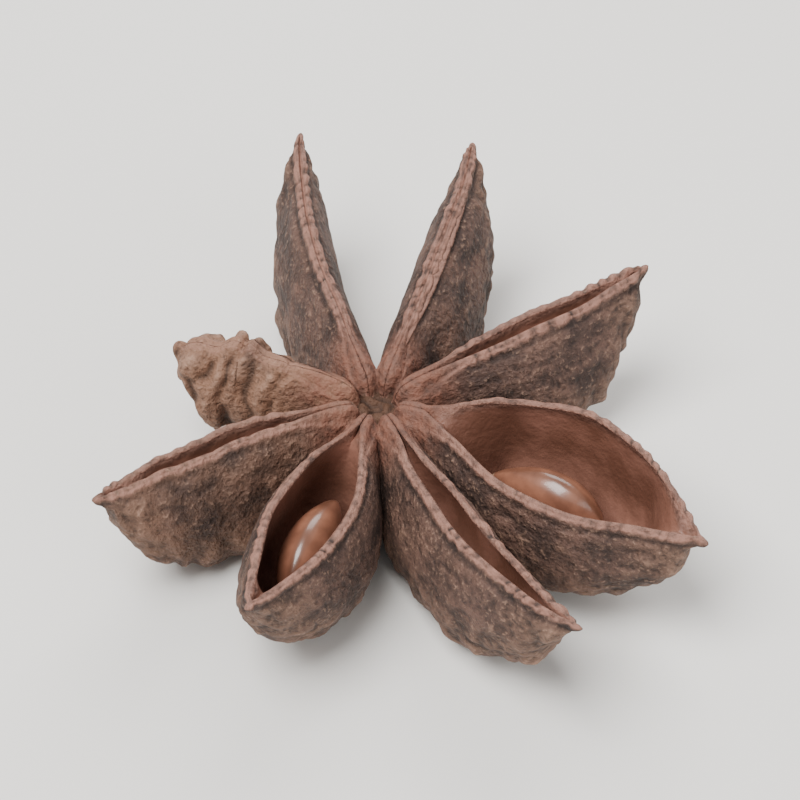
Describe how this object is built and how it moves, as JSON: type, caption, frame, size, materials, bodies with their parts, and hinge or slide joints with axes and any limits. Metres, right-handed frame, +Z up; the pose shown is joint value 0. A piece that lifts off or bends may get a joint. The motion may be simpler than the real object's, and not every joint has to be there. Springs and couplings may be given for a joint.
{
  "type": "star anise pod",
  "caption": "Dried star-shaped spice fruit: boat-shaped carpels round a short column, some gaping along the seam over a glossy seed.",
  "frame": {"origin": "middle of the fruit's footprint, on the surface that it lies on", "axes": "+Z up along the central column, out of the seams; +X and +Y across the star, with the widest open carpel pointing towards +X and a little towards -Y"},
  "size_m": [0.0278, 0.03, 0.0082],
  "materials": {
    "husk": "rough, dry and wrinkled outside, smooth and slightly glossy in the chambers",
    "seed": "smooth and glossy"
  },
  "bodies": {
    "root": {"pod": "husk", "seed_1": "seed", "seed_2": "seed"}
  },
  "joints": []
}
